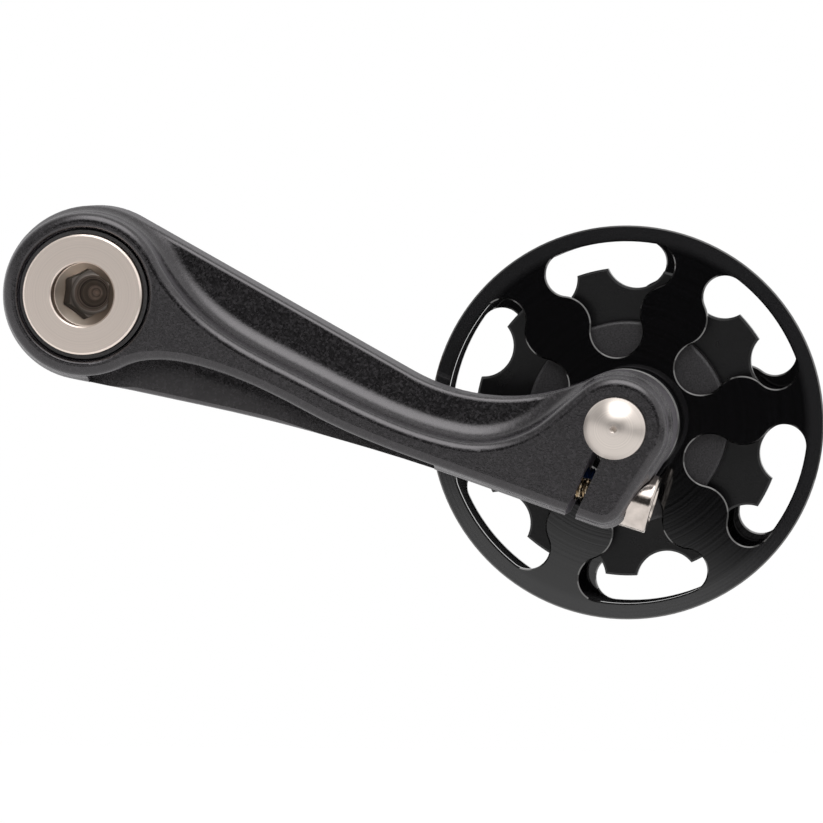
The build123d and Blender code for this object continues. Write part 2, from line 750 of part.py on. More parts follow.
for side, bearing_y in (("front", front_bearing_y), ("rear", rear_bearing_y)):
    ball_y = bearing_y + bearing_width / 2
    ball_origin = Plane(origin=(pin_x, ball_y, pin_z), x_dir=(1, 0, 0), z_dir=(0, -1, 0))

    with BuildPart() as inner_ring:
        add(ring_between(bearing_bore, bearing_bore + ring_wall, bearing_y, bearing_width))
        with Locations(ball_origin):
            Torus(ball_circle, race_radius, mode=Mode.SUBTRACT)
    inner_ring.part.label = f"{side}_bearing_inner_ring"
    export_step(inner_ring.part, f"parts/{side}_bearing_inner_ring.step")

    with BuildPart() as outer_ring:
        add(ring_between(bearing_radius - ring_wall, bearing_radius, bearing_y, bearing_width))
        with Locations(ball_origin):
            Torus(ball_circle, race_radius, mode=Mode.SUBTRACT)
    outer_ring.part.label = f"{side}_bearing_outer_ring"
    export_step(outer_ring.part, f"parts/{side}_bearing_outer_ring.step")

    with BuildPart() as balls:
        with Locations(ball_origin):
            with PolarLocations(ball_circle, ball_count):
                Sphere(ball_radius)
    balls.part.label = f"{side}_bearing_balls"
    export_step(balls.part, f"parts/{side}_bearing_balls.step")

    with BuildPart() as cage:
        cage_inner = ball_circle - cage_wall / 2
        cage_y = ball_y - cage_width / 2
        pocket_radius = ball_radius + pocket_clearance
        add(ring_between(cage_inner, cage_inner + cage_wall, cage_y, cage_width))
        with Locations(ball_origin):
            with PolarLocations(ball_circle, ball_count):
                Cylinder(pocket_radius, 2 * cage_wall, rotation=(0, 90, 0), mode=Mode.SUBTRACT)
    cage.part.label = f"{side}_bearing_cage"
    export_step(cage.part, f"parts/{side}_bearing_cage.step")

    with BuildPart() as shields:
        shield_inner = bearing_bore + ring_wall + shield_gap
        shield_outer = bearing_radius - ring_wall
        far_side = bearing_width - shield_setback - shield_thickness
        add(ring_between(shield_inner, shield_outer, bearing_y + shield_setback, shield_thickness))
        add(ring_between(shield_inner, shield_outer, bearing_y + far_side, shield_thickness))
    shields.part.label = f"{side}_bearing_shields"
    export_step(shields.part, f"parts/{side}_bearing_shields.step")

# Bearing spacer: plain tube between the two inner rings
spacer_y = front_bearing_y + bearing_width
with BuildPart() as bearing_spacer:
    spacer_bore = bearing_bore + bore_clearance
    add(ring_between(spacer_bore, spacer_bore + spacer_wall, spacer_y, rear_bearing_y - spacer_y))
bearing_spacer.part.label = "bearing_spacer"
export_step(bearing_spacer.part, "parts/bearing_spacer.step")

# Hub sleeve: turned flanged tube through the pulley and both plates, with the bearings in its ends
with BuildPart() as hub_sleeve:
    with BuildSketch(axle_plane):
        with BuildLine():
            Polyline(
                (bearing_radius, sleeve_front_y),
                (sleeve_flange_radius - sleeve_chamfer, sleeve_front_y),
                (sleeve_flange_radius, sleeve_front_y + sleeve_chamfer),
                (sleeve_flange_radius, plate_y),
                (sleeve_radius, plate_y),
                (sleeve_radius, sleeve_back_y),
                (bearing_radius, sleeve_back_y),
                (bearing_radius, rear_bearing_y),
                (bearing_radius - sleeve_shoulder, rear_bearing_y),
                (bearing_radius - sleeve_shoulder, spacer_y),
                (bearing_radius, spacer_y),
                close=True,
            )
        make_face()
    revolve(axis=axle_axis)
hub_sleeve.part.label = "hub_sleeve"
export_step(hub_sleeve.part, "parts/hub_sleeve.step")

# Lock ring: threaded ring that clamps plates and pulley against the sleeve's flange
with BuildPart() as lock_ring:
    with BuildSketch(across(sleeve_back_y, pin_centre)):
        Circle(lock_ring_radius)
        Circle(sleeve_radius + bore_clearance, mode=Mode.SUBTRACT)
        with PolarLocations(lock_ring_radius, lock_notch_count):
            Rectangle(lock_notch, lock_notch, mode=Mode.SUBTRACT)
    extrude(amount=lock_ring_thickness)
lock_ring.part.label = "lock_ring"
export_step(lock_ring.part, "parts/lock_ring.step")

# Pulley: moulded plastic, eleven teeth on a thin web with a full-width hub
pitch_radius = chain_pitch / (2 * sin(radians(180 / tooth_count)))
seat_turn = tooth_turn + 180 / tooth_count
with BuildPart() as pulley:
    with BuildSketch(across((hub_front_y + hub_back_y + tooth_thickness) / 2, pin_centre)):
        Circle(tip_radius)
        with PolarLocations(pitch_radius + seat_clear, tooth_count, start_angle=seat_turn):
            Circle(roller_radius + seat_clear, mode=Mode.SUBTRACT)
    extrude(amount=tooth_thickness)
    chamfer(pulley.faces().filter_by(Axis.Y).edges(), length=tooth_chamfer)
    with BuildSketch(across(hub_back_y, pin_centre)):
        Circle(hub_radius)
    extrude(amount=plate_gap)
    hub_faces = pulley.faces().filter_by(Axis.Y)
    fillet(hub_faces.sort_by(Axis.Y)[0].edges() + hub_faces.sort_by(Axis.Y)[-1].edges(), radius=hub_round)
    with BuildSketch(across(hub_back_y, pin_centre)):
        Circle(sleeve_radius + bore_clearance)
    extrude(amount=plate_gap, mode=Mode.SUBTRACT)
pulley.part.label = "pulley"
export_step(pulley.part, "parts/pulley.step")


def window_outline(outer):
    """Spoke window: round inner end, waisted sides and a broad outer end at this radius, along +X."""
    bulb = (window_bulb_place, 0)
    end = on_circle(outer - window_end_radius, window_end_angle)
    to_bulb = window_bulb_radius + spoke_bulge_radius
    to_end = window_end_radius + spoke_bulge_radius
    apart = hypot(end[0] - bulb[0], end[1] - bulb[1])
    lean = degrees(acos((to_bulb**2 + apart**2 - to_end**2) / (2 * to_bulb * apart)))
    bulge_angle = degrees(atan2(end[1] - bulb[1], end[0] - bulb[0])) + lean
    bulge = on_circle(to_bulb, bulge_angle, bulb)
    inner_tip = (window_bulb_place - window_bulb_radius, 0)
    bulb_side = on_circle(window_bulb_radius, bulge_angle, bulb)
    to_bulge = unit((bulge[0] - end[0], bulge[1] - end[1]))
    end_side = (end[0] + window_end_radius * to_bulge[0], end[1] + window_end_radius * to_bulge[1])
    end_tip = on_circle(outer, window_end_angle)
    with BuildSketch() as window:
        with BuildLine():
            ThreePointArc(inner_tip, between(bulb, window_bulb_radius, inner_tip, bulb_side), bulb_side)
            ThreePointArc(bulb_side, between(bulge, spoke_bulge_radius, bulb_side, end_side), end_side)
            ThreePointArc(end_side, between(end, window_end_radius, end_side, end_tip), end_tip)
            ThreePointArc(end_tip, on_circle(outer, window_end_angle / 2), (outer, 0))
            mirror(about=Plane.XZ)
        make_face()
    return window.sketch


# Guide plates: two turned and milled aluminium discs with six windows, one each side of the pulley
front_plate = ("front", plate_y, plate_radius, front_rim_width, window_turn)
rear_radius = plate_radius - rear_plate_step
rear_plate = ("rear", hub_back_y, rear_radius, rear_rim_width, window_turn + rear_plate_turn)
for side, side_y, radius, rim_width, turn in (front_plate, rear_plate):
    with BuildPart() as guide_plate:
        with BuildSketch(across(side_y + plate_thickness, pin_centre)):
            Circle(radius)
            Circle(sleeve_radius + bore_clearance, mode=Mode.SUBTRACT)
            with PolarLocations(0, window_count, start_angle=turn):
                add(window_outline(radius - rim_width), mode=Mode.SUBTRACT)
        extrude(amount=plate_thickness)
        outer_faces = guide_plate.faces().filter_by(Axis.Y)
        chamfer(outer_faces.edges(), length=plate_chamfer)
    guide_plate.part.label = f"{side}_guide_plate"
    export_step(guide_plate.part, f"parts/{side}_guide_plate.step")
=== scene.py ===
import math

import bmesh
import bpy
import numpy as np
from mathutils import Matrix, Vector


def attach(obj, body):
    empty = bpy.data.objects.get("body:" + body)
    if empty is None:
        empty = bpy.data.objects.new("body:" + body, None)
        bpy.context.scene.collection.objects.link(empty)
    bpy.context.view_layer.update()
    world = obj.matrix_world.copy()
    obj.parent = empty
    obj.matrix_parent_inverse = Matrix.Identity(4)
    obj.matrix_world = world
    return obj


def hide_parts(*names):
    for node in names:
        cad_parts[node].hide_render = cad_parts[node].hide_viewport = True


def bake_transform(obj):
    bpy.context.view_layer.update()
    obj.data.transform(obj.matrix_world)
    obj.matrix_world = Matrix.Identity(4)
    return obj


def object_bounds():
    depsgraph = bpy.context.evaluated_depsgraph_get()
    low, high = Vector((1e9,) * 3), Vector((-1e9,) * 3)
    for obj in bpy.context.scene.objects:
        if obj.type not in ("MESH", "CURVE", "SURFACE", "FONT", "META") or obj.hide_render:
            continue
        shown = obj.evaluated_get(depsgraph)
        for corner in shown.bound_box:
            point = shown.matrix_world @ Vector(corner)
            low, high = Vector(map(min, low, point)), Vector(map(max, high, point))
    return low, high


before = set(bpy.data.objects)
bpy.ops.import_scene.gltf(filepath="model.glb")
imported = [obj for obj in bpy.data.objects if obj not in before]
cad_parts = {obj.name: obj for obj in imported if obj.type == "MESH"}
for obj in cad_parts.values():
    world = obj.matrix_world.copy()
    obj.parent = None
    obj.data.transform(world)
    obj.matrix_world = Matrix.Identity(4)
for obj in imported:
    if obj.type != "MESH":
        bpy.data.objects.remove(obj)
cad_low, cad_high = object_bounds()

# Arm
# One aluminium forging with a pivot boss, an S-shaped ridge between two sunk webs and a slit clamp end.
# It is bead blasted and then anodised black, so its skin is a fine even grain that glints on rounded edges.
arm_black = (0.0088, 0.0081, 0.0089)
arm_grain_per_metre = 3800.0
arm_grain_depth = 0.00001
arm_mottle_per_metre = 240.0
wall_facing = (0.12, 0.35)
wall_roughness = 0.35
# Painted light for the pocket's open floor; near the ridge's foot it keeps the dark of a painted shadow
pocket_painted_light = (0.043, 0.041, 0.042)
pocket_line_start = (0.0025, 0.0, -0.0063)
pocket_line_below = (-0.317, 0.0, -0.9485)
pocket_depths = (-0.0142, -0.0132)


def shader_group(name, inputs, outputs):
    """New shader node group with named float or vector sockets.
    Returns it with its input and output nodes."""
    group = bpy.data.node_groups.new(name, "ShaderNodeTree")
    for socket, kind in inputs:
        group.interface.new_socket(socket, in_out="INPUT", socket_type=kind)
    for socket, kind in outputs:
        group.interface.new_socket(socket, in_out="OUTPUT", socket_type=kind)
    return group, group.nodes.new("NodeGroupInput"), group.nodes.new("NodeGroupOutput")


def feed(tree, socket, value):
    """Sets a socket to a number, or links another socket to it."""
    if isinstance(value, (int, float)):
        socket.default_value = value
    else:
        tree.links.new(value, socket)


def math_node(tree, operation, *operands):
    """Math node of this operation on numbers or sockets. Returns its result socket."""
    node = tree.nodes.new("ShaderNodeMath")
    node.operation = operation
    for socket, operand in zip(node.inputs, operands):
        feed(tree, socket, operand)
    return node.outputs[0]


def fade(tree, value, start, end, low=0.0, high=1.0):
    """Smooth step from low to high while the value goes from start to end. Returns its result socket."""
    node = tree.nodes.new("ShaderNodeMapRange")
    node.interpolation_type = "SMOOTHSTEP"
    feed(tree, node.inputs["Value"], value)
    for socket, number in zip(("From Min", "From Max", "To Min", "To Max"), (start, end, low, high)):
        node.inputs[socket].default_value = number
    return node.outputs["Result"]


def ramp(tree, factor, stops):
    """Colour ramp through (place, colour) stops, fed by a factor socket. Returns its colour socket."""
    node = tree.nodes.new("ShaderNodeValToRGB")
    while len(node.color_ramp.elements) < len(stops):
        node.color_ramp.elements.new(0.5)
    for element, (place, colour) in zip(node.color_ramp.elements, stops):
        element.position = place
        element.color = (*colour, 1.0)
    tree.links.new(factor, node.inputs["Fac"])
    return node.outputs["Color"]


def noise(tree, vector, per_metre, detail=2.0):
    """Noise over a coordinate, in features per metre. Returns its value socket."""
    node = tree.nodes.new("ShaderNodeTexNoise")
    node.inputs["Detail"].default_value = detail
    feed(tree, node.inputs["Scale"], per_metre)
    tree.links.new(vector, node.inputs["Vector"])
    return node.outputs["Fac"]


def finish(name, colour, metallic, roughness, ior=1.5):
    """New material with a Principled shader. Returns it with its tree, shader and Object coordinates."""
    material = bpy.data.materials.new(name)
    material.use_nodes = True
    tree = material.node_tree
    shader = tree.nodes["Principled BSDF"]
    shader.inputs["Base Color"].default_value = (*colour, 1.0)
    shader.inputs["Metallic"].default_value = metallic
    shader.inputs["Roughness"].default_value = roughness
    shader.inputs["IOR"].default_value = ior
    place = tree.nodes.new("ShaderNodeTexCoord").outputs["Object"]
    return material, tree, shader, place


def use_group(tree, group, **values):
    """Places a node group with numbers or sockets for its inputs. Returns its node."""
    node = tree.nodes.new("ShaderNodeGroup")
    node.node_tree = group
    for socket, value in values.items():
        feed(tree, node.inputs[socket.replace("_", " ")], value)
    return node


def bump(tree, shader, height, depth):
    """Bump of this depth in metres from a height socket, into the shader's normal."""
    node = tree.nodes.new("ShaderNodeBump")
    node.inputs["Distance"].default_value = depth
    node.inputs["Strength"].default_value = 1.0
    tree.links.new(height, node.inputs["Height"])
    tree.links.new(node.outputs["Normal"], shader.inputs["Normal"])


def roughen(tree, shader, pattern, spread, least):
    """Roughness of the least value, a number or a socket, plus the spread times a pattern."""
    tree.links.new(math_node(tree, "MULTIPLY_ADD", pattern, spread, least), shader.inputs["Roughness"])


def shades(colour, *factors):
    """The colour multiplied by each factor, as ramp colours."""
    return [tuple(channel * factor for channel in colour) for factor in factors]


def dress(material, *nodes):
    """Gives CAD nodes this one material."""
    for node in nodes:
        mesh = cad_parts[node].data
        mesh.materials.clear()
        mesh.materials.append(material)


def blend(tree, factor, first, second):
    """Mix of two colours, each a socket or a tuple. Returns its colour socket."""
    node = tree.nodes.new("ShaderNodeMix")
    node.data_type = "RGBA"
    feed(tree, node.inputs["Factor"], factor)
    for socket, colour in (("A", first), ("B", second)):
        if isinstance(colour, tuple):
            node.inputs[socket].default_value = (*colour, 1.0)
        else:
            tree.links.new(colour, node.inputs[socket])
    return node.outputs["Result"]


def along_axis(tree, place, centre, way):
    """Distance of a place from a centre along a way, in metres. Returns its value socket."""
    offset = tree.nodes.new("ShaderNodeVectorMath")
    offset.operation = "SUBTRACT"
    offset.inputs[1].default_value = tuple(centre)
    tree.links.new(place, offset.inputs[0])
    dot = tree.nodes.new("ShaderNodeVectorMath")
    dot.operation = "DOT_PRODUCT"
    dot.inputs[1].default_value = tuple(way)
    tree.links.new(offset.outputs["Vector"], dot.inputs[0])
    return dot.outputs["Value"]


blast_grain, inside, outside = shader_group(
    "blast_grain",
    [("Place", "NodeSocketVector"), ("Per metre", "NodeSocketFloat"),
     ("Mottle per metre", "NodeSocketFloat")],
    [("Grain", "NodeSocketFloat"), ("Mottle", "NodeSocketFloat"), ("Speck", "NodeSocketFloat")],
)
cells = blast_grain.nodes.new("ShaderNodeTexVoronoi")
feed(blast_grain, cells.inputs["Scale"], inside.outputs["Per metre"])
feed(blast_grain, cells.inputs["Vector"], inside.outputs["Place"])
shares = blast_grain.nodes.new("ShaderNodeSeparateXYZ")
blast_grain.links.new(cells.outputs["Color"], shares.inputs[0])
pits = noise(blast_grain, inside.outputs["Place"], inside.outputs["Per metre"], 3.0)
patches = noise(blast_grain, inside.outputs["Place"], inside.outputs["Mottle per metre"])
blast_grain.links.new(pits, outside.inputs["Grain"])
blast_grain.links.new(patches, outside.inputs["Mottle"])
blast_grain.links.new(shares.outputs["X"], outside.inputs["Speck"])

blasted, tree, shader, place = finish("blasted_black", arm_black, 0.0, 0.24, 1.7)
shader.inputs["Specular Tint"].default_value = (1.0, 0.96, 0.99, 1.0)
shader.inputs["Sheen Weight"].default_value = 0.1
shader.inputs["Sheen Roughness"].default_value = 0.35
shader.inputs["Sheen Tint"].default_value = (0.9, 0.82, 0.95, 1.0)
skin = use_group(
    tree, blast_grain, Place=place, Per_metre=arm_grain_per_metre, Mottle_per_metre=arm_mottle_per_metre
)
dark, plain, pale = shades(arm_black, 0.3, 0.75, 2.1)
colour = ramp(tree, skin.outputs["Speck"], [(0.0, dark), (0.6, plain), (1.0, pale)])
# Pocket under the ridge: painted shade, its floor is painted paler away from the ridge's foot, where it is
# open
axes = tree.nodes.new("ShaderNodeSeparateXYZ")
tree.links.new(place, axes.inputs[0])
below = along_axis(tree, place, pocket_line_start, pocket_line_below)
sunk = math_node(
    tree, "MULTIPLY", fade(tree, below, 0.0, 0.001), fade(tree, axes.outputs["Y"], *pocket_depths)
)
openness = tree.nodes.new("ShaderNodeAmbientOcclusion")
openness.samples = 8
openness.inputs["Distance"].default_value = 0.004
painted_light_floor = math_node(tree, "MULTIPLY", sunk, fade(tree, openness.outputs["AO"], 0.45, 0.85))
colour = blend(tree, painted_light_floor, colour, pocket_painted_light)
tree.links.new(colour, shader.inputs["Base Color"])
speck_gloss = math_node(tree, "MULTIPLY_ADD", skin.outputs["Speck"], 0.09, 0.18)
gloss = math_node(tree, "MULTIPLY_ADD", skin.outputs["Mottle"], 0.05, speck_gloss)
# Side walls, whose normal is square to Y, keep the forging's rougher skin
facing = tree.nodes.new("ShaderNodeSeparateXYZ")
tree.links.new(tree.nodes["Texture Coordinate"].outputs["Normal"], facing.inputs[0])
wall = fade(tree, math_node(tree, "ABSOLUTE", facing.outputs["Y"]), *wall_facing, 1.0, 0.0)
roughen(tree, shader, wall, wall_roughness, gloss)
bump(tree, shader, skin.outputs["Grain"], arm_grain_depth)
dress(blasted, "arm")

# Hanger bolt
# Turned steel, satin nickel plated: a wide flat head with a round recess, a broached hex socket and a
# drilled point, a plain shoulder, a ring groove and a rolled 10 mm thread. It screws into the hanger and
# carries all.
bolt_nickel = (0.93, 0.815, 0.735)
thread_steel = (0.5, 0.475, 0.445)
# Painted shade: the socket's walls and cone are painted dark. The drilled floor's rings are tool marks, and
# their pale tone is painted light
socket_painted_shade = (0.26, 0.23, 0.2)
drilled_dark, drilled_painted_light = (0.3, 0.27, 0.25), (0.95, 0.87, 0.82)
socket_edge = (0.0042, 0.0044)
recess_top = (-0.0167, -0.0162)
socket_bottom = (-0.0082, -0.0076)
drill_end = (-0.003, -0.002)
shoulder_end = (-0.0012, -0.0004)
bolt_around = 192
bolt_crease = 24.0
drill_tip, drill_width = -0.0036, 0.0025
tool_mark_height, tool_mark_swing = 0.00004, 58.0
socket_floor, socket_mouth = -0.0078, -0.0138
cone_level, cone_radius, cone_slope = -0.0126, 0.0029, 1.2
recess_radius, recess_chamfer = 0.00435, 0.0002
head_front, head_back, head_radius = -0.0168, -0.0128, 0.0082
front_chamfer, back_chamfer = 0.00025, 0.0002
shoulder_radius = 0.006
groove_front, groove_back, groove_radius = -0.00102, -0.0002, 0.0054
thread_outer, thread_core = 0.005, 0.0043
thread_start, thread_end = 0.0005, 0.0082
lead_in, lead_out = 0.0008, 0.0012
bolt_end, bolt_end_radius = 0.009, 0.0042
bolt_thread_pitch = 0.001
bolt_thread_depth = 0.00058
hex_apothem = 0.003
hex_turn = math.radians(36.0)


def side_rows(radius, reach, centre, along, side):
    """Rings of points: centre + reach times the axis + radius turned through the whole angle about it."""
    along, side = (np.array(v) / np.linalg.norm(v) for v in (along, side))
    turn = np.linspace(0.0, 2.0 * math.pi, radius.shape[1], endpoint=False)[None, :, None]
    spoke = np.cos(turn) * side + np.sin(turn) * np.cross(along, side)
    return np.array(centre) + reach[..., None] * along + radius[..., None] * spoke


def skin_mesh(name, rows, first, last, crease):
    """Closed mesh over rings of points: quads from ring to ring, and a fan to a pole at each end."""
    count, around = rows.shape[:2]
    points = np.concatenate([np.array(first)[None], rows.reshape(-1, 3), np.array(last)[None]])
    here = 1 + np.arange(count * around).reshape(count, around)
    ahead = np.roll(here, -1, axis=1)
    quads = np.stack([here[:-1], ahead[:-1], ahead[1:], here[1:]], axis=-1).reshape(-1, 4)
    first_fan = np.stack([np.zeros(around, int), ahead[0], here[0]], axis=-1)
    last_fan = np.stack([np.full(around, len(points) - 1), here[-1], ahead[-1]], axis=-1)
    mesh = bpy.data.meshes.new(name)
    mesh.from_pydata(points.tolist(), [], quads.tolist() + first_fan.tolist() + last_fan.tolist())
    shape = bmesh.new()
    shape.from_mesh(mesh)
    bmesh.ops.recalc_face_normals(shape, faces=shape.faces)
    shape.to_mesh(mesh)
    shape.free()
    mesh.polygons.foreach_set("use_smooth", np.ones(len(mesh.polygons), bool))
    mesh.set_sharp_from_angle(angle=math.radians(crease))
    piece = bpy.data.objects.new(name, mesh)
    bpy.context.scene.collection.objects.link(piece)
    return piece


def thread_radius(reach, turn, outer, pitch, depth):
    """Screw thread: outer radius less a rounded triangle wave of the depth, one turn forward each pitch."""
    phase = np.mod(reach[:, None] / pitch - turn[None, :] / (2.0 * math.pi), 1.0)
    wave = np.clip(np.abs(2.0 * phase - 1.0) * 1.25 - 0.06, 0.0, 1.0)
    return outer - depth * wave


turn = np.linspace(0.0, 2.0 * math.pi, bolt_around, endpoint=False)
# Drilled point with tool rings, from its tip out to the socket's floor
tip_run = np.linspace(0.02, 1.0, 60)
drill_radius = drill_width * tip_run
tool_ridges = tool_mark_height * np.sin(tool_mark_swing * tip_run)
drill_reach = drill_tip + (socket_floor - drill_tip) * tip_run + tool_ridges
# Socket: the hex, opened by a cone under the recess, so its radius is the larger of the two
socket_reach = np.linspace(socket_floor, socket_mouth, 72)
cone = cone_radius + cone_slope * (cone_level - socket_reach)
hex_radius = hex_apothem / np.cos(np.mod(turn - hex_turn, math.pi / 3.0) - math.pi / 6.0)
socket_radius = np.maximum(cone[:, None], hex_radius[None, :])
# Recess, head, shoulder and groove, as radius and reach along the axis
turned_profile = np.array([
    (recess_radius, socket_mouth), (recess_radius, head_front + recess_chamfer),
    (recess_radius + recess_chamfer, head_front), (head_radius - front_chamfer, head_front),
    (head_radius, head_front + front_chamfer), (head_radius, head_back - back_chamfer),
    (head_radius - back_chamfer, head_back), (shoulder_radius, head_back),
    (shoulder_radius, groove_front), (groove_radius, groove_front),
    (groove_radius, groove_back), (shoulder_radius, groove_back),
    (shoulder_radius, 0.0), (thread_core, 0.0), (thread_core, thread_start),
])
screw_reach = np.linspace(thread_start, thread_end, 93)
run_in = np.clip((screw_reach - thread_start) / lead_in, 0.0, 1.0)
run_out = np.clip((bolt_end - screw_reach) / lead_out, 0.0, 1.0)
screw_radius = thread_radius(screw_reach, turn, thread_outer, bolt_thread_pitch, bolt_thread_depth)
thread_cap = thread_core + (thread_outer - thread_core) * run_in * run_out
screw_radius = np.minimum(screw_radius, thread_cap[:, None])
bolt_radius = np.concatenate([
    np.repeat(drill_radius[:, None], bolt_around, axis=1),
    socket_radius,
    np.repeat(turned_profile[:, :1], bolt_around, axis=1),
    screw_radius,
    np.full((1, bolt_around), bolt_end_radius),
])
bolt_reach = np.concatenate([drill_reach, socket_reach, turned_profile[:, 1], screw_reach, [bolt_end]])
bolt_rows = side_rows(
    bolt_radius, np.repeat(bolt_reach[:, None], bolt_around, axis=1),
    (0.0, 0.0, 0.0), (0.0, 1.0, 0.0), (1.0, 0.0, 0.0),
)
bolt = skin_mesh("hanger_bolt_turned", bolt_rows, (0.0, drill_tip, 0.0), (0.0, bolt_end, 0.0), bolt_crease)
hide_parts("hanger_bolt")
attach(bolt, "hanger_mount")

turning_rings, inside, outside = shader_group(
    "turning_rings",
    [("Place", "NodeSocketVector"), ("Per metre", "NodeSocketFloat")],
    [("Radius", "NodeSocketFloat"), ("Rings", "NodeSocketFloat"), ("Depth", "NodeSocketFloat")],
)
axes = turning_rings.nodes.new("ShaderNodeSeparateXYZ")
turning_rings.links.new(inside.outputs["Place"], axes.inputs[0])
across = math_node(turning_rings, "MULTIPLY", axes.outputs["X"], axes.outputs["X"])
square = math_node(turning_rings, "MULTIPLY_ADD", axes.outputs["Z"], axes.outputs["Z"], across)
radius = math_node(turning_rings, "SQRT", square)
lines = turning_rings.nodes.new("ShaderNodeTexNoise")
lines.noise_dimensions = "1D"
lines.inputs["Detail"].default_value = 4.0
feed(turning_rings, lines.inputs["W"], radius)
feed(turning_rings, lines.inputs["Scale"], inside.outputs["Per metre"])
turning_rings.links.new(radius, outside.inputs["Radius"])
turning_rings.links.new(lines.outputs["Fac"], outside.inputs["Rings"])
turning_rings.links.new(axes.outputs["Y"], outside.inputs["Depth"])

nickel, tree, shader, place = finish("satin_nickel", bolt_nickel, 1.0, 0.26)
rings = use_group(tree, turning_rings, Place=place, Per_metre=5200.0)
worn, plain, bright = shades(bolt_nickel, 0.97, 1.0, 1.03)
face = ramp(tree, rings.outputs["Rings"], [(0.3, worn), (0.5, plain), (0.7, bright)])
in_socket = fade(tree, rings.outputs["Radius"], *socket_edge, 1.0, 0.0)
under_head = fade(tree, rings.outputs["Depth"], *recess_top)
socket_shade_mask = math_node(tree, "MULTIPLY", in_socket, under_head)
before_tip = fade(tree, rings.outputs["Depth"], *drill_end, 1.0, 0.0)
socket_shade_mask = math_node(tree, "MULTIPLY", before_tip, socket_shade_mask)
at_bottom = fade(tree, rings.outputs["Depth"], *socket_bottom)
tool_marks = use_group(tree, turning_rings, Place=place, Per_metre=1900.0)
drilled = ramp(tree, tool_marks.outputs["Rings"], [(0.38, drilled_dark), (0.62, drilled_painted_light)])
# Painted shade in the socket, with painted light on its drilled floor
inner = blend(tree, at_bottom, socket_painted_shade, drilled)
on_thread = fade(tree, rings.outputs["Depth"], *shoulder_end)
face = blend(tree, on_thread, face, thread_steel)
tree.links.new(blend(tree, socket_shade_mask, face, inner), shader.inputs["Base Color"])
satin = math_node(tree, "MULTIPLY_ADD", rings.outputs["Rings"], 0.1, 0.26)
satin = math_node(tree, "MULTIPLY_ADD", math_node(tree, "MULTIPLY", socket_shade_mask, at_bottom), 0.35, satin)
tree.links.new(satin, shader.inputs["Roughness"])
bump(tree, shader, rings.outputs["Rings"], 0.000001)
bolt.data.materials.append(nickel)

# Bushings
# Two plain bearings of black moulded plastic on the bolt's shoulder. The front one's thin lip shows as a
# dark ring round the bolt's head; the rear one closes the spring's cavity with its flange.
bush_black = (0.03, 0.029, 0.03)


def two_tone(tree, pattern, colour, dark, pale, low=0.3, high=0.7):
    """Colour that goes from its dark share to its pale share while a pattern goes from low to high."""
    first, last = shades(colour, dark, pale)
    return ramp(tree, pattern, [(low, first), (high, last)])


bushing_plastic, tree, shader, place = finish("bushing_plastic", bush_black, 0.0, 0.38, 1.5)
skin = use_group(tree, blast_grain, Place=place, Per_metre=5200.0, Mottle_per_metre=500.0)
tree.links.new(two_tone(tree, skin.outputs["Grain"], bush_black, 0.75, 1.3), shader.inputs["Base Color"])
roughen(tree, shader, skin.outputs["Mottle"], 0.2, 0.28)
bump(tree, shader, skin.outputs["Grain"], 0.00002)
dress(bushing_plastic, "front_bushing", "rear_bushing")

# Torsion spring and retaining ring
# Oil-tempered spring steel, drawn wire for the spring and flat wire for the open ring that snaps into the
# bolt's groove. The spring's front leg is in the arm and its rear leg is in the stop plate, so it twists
# between them.
spring_grey = (0.17, 0.165, 0.16)
wire_radius = 0.00075
coil_radius = 0.008165
coil_front, coil_back = -0.00835, -0.00405
coil_half_turns = 5
coil_rows = 360
leg_front, leg_back = -0.0107, -0.0005
leg_bend = 0.001


def wire_rows(run, height, heading, radius, wire, around):
    """Rings of a round wire that lies on a cylinder about Y: its path is run / radius round from +Z,
    at the height. A ring is the wire's radius turned from the outward normal to the side that is square
    to the path's heading."""
    angle = run / radius
    level = np.zeros_like(angle)
    up = np.array([0.0, 1.0, 0.0])
    outward = np.stack([np.sin(angle), level, np.cos(angle)], axis=1)
    onward = np.stack([np.cos(angle), level, -np.sin(angle)], axis=1)
    side = np.cos(heading)[:, None] * onward - np.sin(heading)[:, None] * up
    path = radius * outward + height[:, None] * up
    turn = np.linspace(0.0, 2.0 * math.pi, around, endpoint=False)[None, :, None]
    return path[:, None] + wire * (np.cos(turn) * outward[:, None] + np.sin(turn) * side[:, None])


# The path on the unrolled cylinder: a leg along Y, a bend, the straight slope of the coil,
# and the same at the rear
coil_run = math.pi * coil_half_turns * coil_radius
coil_slope = math.atan2(coil_back - coil_front, coil_run)
swing = np.linspace(0.0, math.pi / 2.0 - coil_slope, 13)
bend_run = leg_bend * (1.0 - np.cos(swing))
bend_height = coil_front + leg_bend * (np.sin(swing) - math.tan(swing[-1] / 2.0))
rear_run, rear_height = coil_run - bend_run[::-1], coil_front + coil_back - bend_height[::-1]
spring_run = np.concatenate([
    [0.0], bend_run, np.linspace(bend_run[-1], rear_run[0], coil_rows)[1:-1], rear_run, [coil_run],
])
spring_height = np.concatenate([
    [leg_front], bend_height, np.linspace(bend_height[-1], rear_height[0], coil_rows)[1:-1],
    rear_height, [leg_back],
])
spring_heading = np.concatenate([[0.0], swing, np.full(coil_rows - 2, swing[-1]), swing[::-1], [0.0]])
spring_rows = wire_rows(spring_run, spring_height, spring_heading, coil_radius, wire_radius, 20)
spring = skin_mesh(
    "torsion_spring_wound", spring_rows, spring_rows[0].mean(axis=0), spring_rows[-1].mean(axis=0), 40.0
)
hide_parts("torsion_spring")
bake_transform(spring)

